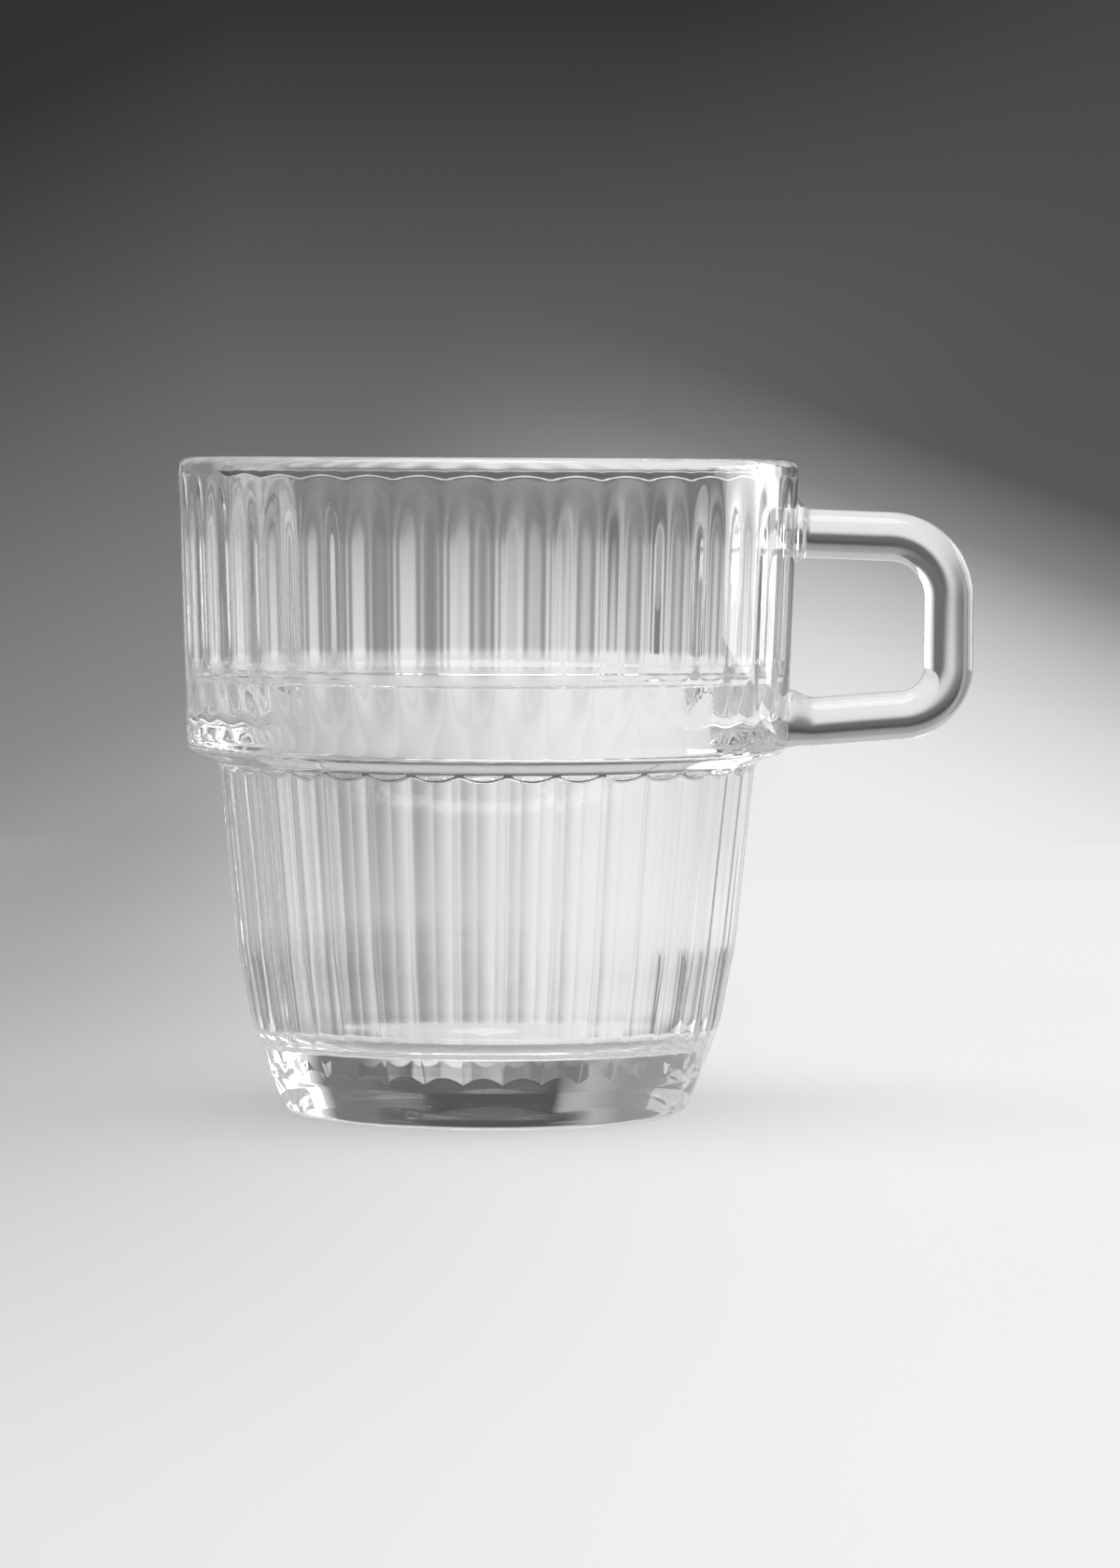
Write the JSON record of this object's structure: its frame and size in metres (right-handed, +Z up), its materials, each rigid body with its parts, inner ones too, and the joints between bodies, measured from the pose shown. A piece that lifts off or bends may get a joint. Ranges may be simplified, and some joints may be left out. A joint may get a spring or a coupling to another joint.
{
  "type": "handled coffee glass",
  "caption": "Stackable clear glass cup with a stepped body, reeded inside above the shoulder and outside below it, and a D-shaped glass rod handle for the fingers.",
  "frame": {"origin": "on the cup's axis, in the plane of the foot ring that the cup stands on", "axes": "+Z up along the cup's axis to the lip, +X out through the middle of the handle, +Y across the handle's plane"},
  "size_m": [0.0975, 0.0758, 0.08],
  "materials": {
    "glass": "polished",
    "handle_glass": "polished"
  },
  "bodies": {
    "root": {"glass_body": "glass", "handle": "handle_glass"}
  },
  "joints": []
}
